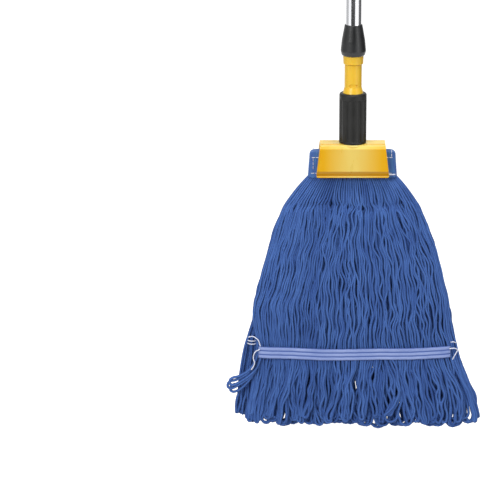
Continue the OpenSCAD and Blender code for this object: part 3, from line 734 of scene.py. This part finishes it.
def headband_stitching():
    """White rows on both faces of the band, with a riser at one end and a heavy bar at the other."""
    top, foot = BAND_HIGH[2], BAND_LOW[2]
    soup = Soup()
    for side in (-1, 1):
        y = side * (BAND_HIGH[1] - 0.1)
        inset = side * 0.3
        stitch_row(soup, (-62, top - UPPER_ROW), (62, top - UPPER_ROW), y - inset, 4.6, 1.6, STITCH_R)
        stitch_row(soup, (-63, foot + LOWER_ROW), (63, foot + LOWER_ROW), y - inset, 4.6, 1.6, STITCH_R)
        stitch_row(soup, (59 * -side, top - 3), (59 * -side, top - 15), y, 4.2, 1.4, STITCH_R)
        stitch_row(soup, (60 * side, top - 16), (60 * side, foot + 6), y - inset, 4.2, 1.8, 0.42)
        stitch_row(soup, (52 * -side, foot + 2.2), (66 * -side, foot + 2.6), y, 13.0, 0.4, 1.0)
    piece = soup.build("headband_stitching", THREAD)
    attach(piece, "handle")


# ---- Tail bands with their loose thread ends ----

def tail_sag(x):
    """The tape hangs a little lower in the middle than at its ends."""
    return 2.4 - 4.6 * math.cos(math.pi * x / (2 * TAIL_HIGH[0] + 30)) + 0.5 * math.sin(x / 21)


def tail_band(side, body, node, name):
    """One tape with three ribs, sewn across the yarn of one side."""
    soup = Soup()
    columns, rows = 120, 12
    height = TAIL_HIGH[2] - TAIL_LOW[2] + 1.2
    left, right = TAIL_LOW[0] + 6, TAIL_HIGH[0] + 4
    points = []
    for i in range(columns + 1):
        x = left + (right - left) * i / columns
        for j in range(rows + 1):
            v = j / rows
            rib = 0.5 * abs(math.sin(3 * math.pi * v)) ** 0.7
            wave = 0.3 * math.sin(x / 4.3 + 1.3 * math.sin(x / 17)) + 0.25 * math.sin(x / 11)
            tuck = 2.5 * abs(2 * i / columns - 1) ** 24
            y = TAIL_LOW[1] + 0.7 + rib + wave - tuck
            z = TAIL_Z + height * (0.5 - v) + tail_sag(x)
            points.append((x, side * y, z))
    faces = []
    corners = []
    step = (right - left) / columns
    for i in range(columns):
        for j in range(rows):
            a = i * (rows + 1) + j
            quad = [(a, i, j), (a + 1, i, j + 1), (a + rows + 2, i + 1, j + 1), (a + rows + 1, i + 1, j)]
            quad = quad if side < 0 else quad[::-1]
            faces.append([q[0] for q in quad])
            corners += [(q[1] * step, q[2] / rows) for q in quad]
    soup.put(np.array(points), faces, corners, 0.5)
    piece = soup.build(name, TAPE)
    thicken = piece.modifiers.new("thickness", "SOLIDIFY")
    thicken.thickness = TAPE_THICKNESS * MM
    thicken.offset = -1
    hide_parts(node)
    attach(piece, body)


# ---- Floor, lights and camera ----

def seen_directly(tree):
    """1 for what the camera sees straight or in a mirror, 0 for what only sends light on."""
    rays = add(tree, "LightPath")
    return add(tree, "Math", {0: rays.outputs["Is Camera Ray"], 1: rays.outputs["Is Glossy Ray"]},
               operation="ADD", use_clamp=True).outputs[0]


def floor_and_backdrop():
    floor_z = cad_bounds[0].z - 0.05
    bpy.ops.mesh.primitive_plane_add(size=60, location=(0, 0, floor_z))
    floor = bpy.context.object
    floor.name = "studio_floor"
    made, tree, shader = new_material("pale studio floor", Roughness=1.0)
    shader.inputs["Specular IOR Level"].default_value = 0.0
    seen = seen_directly(tree)
    tree.links.new(blend_colours(tree, seen, "#B4B4B4", "#F6F6F6"), shader.inputs["Base Color"])
    strength = add(tree, "Math", {0: seen, 1: 0.62}, operation="MULTIPLY").outputs[0]
    glow = add(tree, "Emission", {"Color": (1, 1, 1, 1), "Strength": strength})
    both = add(tree, "AddShader", {0: shader.outputs[0], 1: glow.outputs[0]})
    output = tree.nodes["Material Output"]
    tree.links.new(both.outputs[0], output.inputs["Surface"])
    floor.data.materials.append(made)


def world_light():
    world = bpy.data.worlds.new("white studio")
    bpy.context.scene.world = world
    world.use_nodes = True
    tree = world.node_tree
    strength = ranged(tree, seen_directly(tree), 0, 1, 0.45, 1.0)
    back = tree.nodes["Background"]
    back.inputs["Color"].default_value = (1, 1, 1, 1)
    tree.links.new(strength, back.inputs["Strength"])


def area_light(name, place, target, size, power):
    light = bpy.data.lights.new(name, "AREA")
    light.shape = "RECTANGLE"
    light.size, light.size_y = size
    light.energy = power
    holder = bpy.data.objects.new(name, light)
    bpy.context.scene.collection.objects.link(holder)
    holder.location = place
    holder.rotation_euler = (Vector(target) - Vector(place)).to_track_quat("-Z", "Y").to_euler()


def flag(name, azimuth, distance, width, radiance):
    """A tall card that only mirrors see: it gives the polished tube its dark core and grey edges."""
    a = math.radians(azimuth)
    place = Vector((distance * math.sin(a), -distance * math.cos(a), -0.9))
    bpy.ops.mesh.primitive_plane_add(size=1, location=place, rotation=(math.pi / 2, 0, a))
    card = bpy.context.object
    card.name = name
    card.scale = (width, 3.2, 1)
    made, tree, shader = new_material("flag cloth", Roughness=1.0)
    glow = add(tree, "Emission", {"Color": (1, 1, 1, 1), "Strength": radiance})
    tree.links.new(glow.outputs[0], tree.nodes["Material Output"].inputs["Surface"])
    card.data.materials.append(made)
    card.visible_camera = False
    card.visible_diffuse = False
    card.visible_shadow = False
    card.visible_transmission = False


def studio():
    floor_and_backdrop()
    world_light()
    centre = (0, 0, JAW_FOOT * MM - 0.1)
    area_light("key", (-1.3, -2.2, -0.35), centre, (1.2, 1.2), 42)
    area_light("fill", (1.7, -1.7, -1.1), centre, (0.5, 2.0), 10)
    area_light("top", (0.2, -0.4, 0.9), (0, 0, -1.2), (1.3, 1.0), 34)
    flag("flag_front", -9, 1.6, 1.75, 0.07)
    flag("flag_right", 110, 1.5, 1.9, 0.15)
    flag("flag_left", -105, 1.5, 1.5, 0.62)


def camera():
    """From the front and a little above, with the pole to the right of the middle and its top cut off."""
    elevation = math.radians(15.5)
    lens, sensor = 250.0, 36.0
    width, pole_right, jaws_above = 760.0, 156.0, 163.5
    distance = width * MM * lens / sensor
    right = Vector((1, 0, 0))
    up = Vector((0, math.sin(elevation), math.cos(elevation)))
    back = Vector((0, -math.cos(elevation), math.sin(elevation)))
    jaw_top = Vector((0, 0, high("front_jaw")[2] * MM))
    aim = jaw_top - right * pole_right * MM - up * jaws_above * MM
    data = bpy.data.cameras.new("camera")
    data.lens, data.sensor_width = lens, sensor
    data.clip_end = 100
    holder = bpy.data.objects.new("camera", data)
    bpy.context.scene.collection.objects.link(holder)
    holder.location = aim + back * distance
    holder.rotation_euler = (math.pi / 2 - elevation, 0, 0)
    bpy.context.scene.camera = holder


bpy.ops.object.select_all(action="DESELECT")
camera()
finish_hard_nodes()
front_yarn = yarn_side("front_yarn", -1, 0.4)
yarn_side("rear_yarn", 1, 2.9)
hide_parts("yarn_root")
headband()
headband_stitching()
tail_band(-1, "front_fringe", "front_tail_band", "front_tape")
tail_band(1, "rear_fringe", "rear_tail_band", "rear_tape")
side_tuft()
thread_tails()
studio()
bpy.context.scene.view_settings.view_transform = "Standard"
